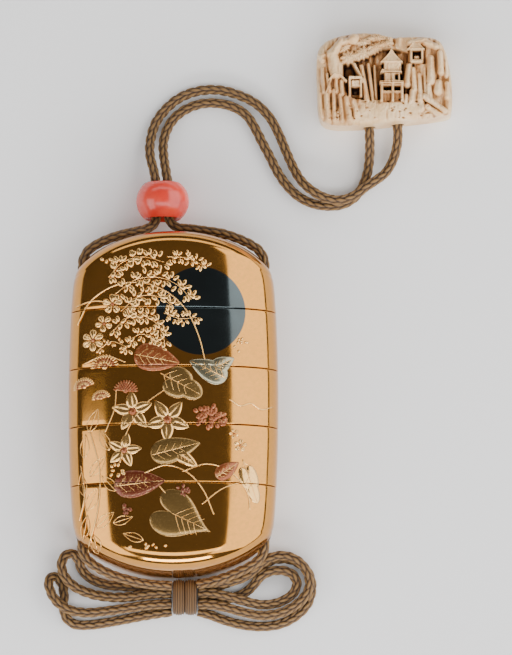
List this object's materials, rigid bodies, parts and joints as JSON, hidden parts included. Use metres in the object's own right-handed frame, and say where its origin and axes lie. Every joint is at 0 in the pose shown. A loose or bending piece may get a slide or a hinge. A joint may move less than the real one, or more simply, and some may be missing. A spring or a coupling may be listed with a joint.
{
  "type": "inro case",
  "caption": "Stacked lacquer case with a lid, for small things, on a braided cord with a bead, a carved toggle and a bow.",
  "frame": {"origin": "on the surface that the case lies on, under the middle of the case", "axes": "+Y along the case from its bottom to its lid, +Z out of its decorated front, +X to the right seen from the front"},
  "size_m": [0.1053, 0.1549, 0.0246],
  "materials": {
    "gold_lacquer": "polished gold lacquer with raised decoration",
    "silk_cord": "braided silk",
    "coral": "polished",
    "ivory": "carved, satin"
  },
  "bodies": {
    "root": {"lid": "gold_lacquer", "case_1": "gold_lacquer", "case_2": "gold_lacquer", "case_3": "gold_lacquer", "case_4": "gold_lacquer", "cord_left": "silk_cord", "cord_right": "silk_cord", "cord_tie_left": "silk_cord", "cord_tie_right": "silk_cord", "bow_left_short": "silk_cord", "bow_left_long": "silk_cord", "bow_right_short": "silk_cord", "bow_right_middle": "silk_cord", "bow_right_long": "silk_cord", "cord_run_left": "silk_cord", "cord_run_right": "silk_cord", "bow_knot": "silk_cord", "ojime_bead": "coral", "netsuke": "ivory"}
  },
  "joints": []
}
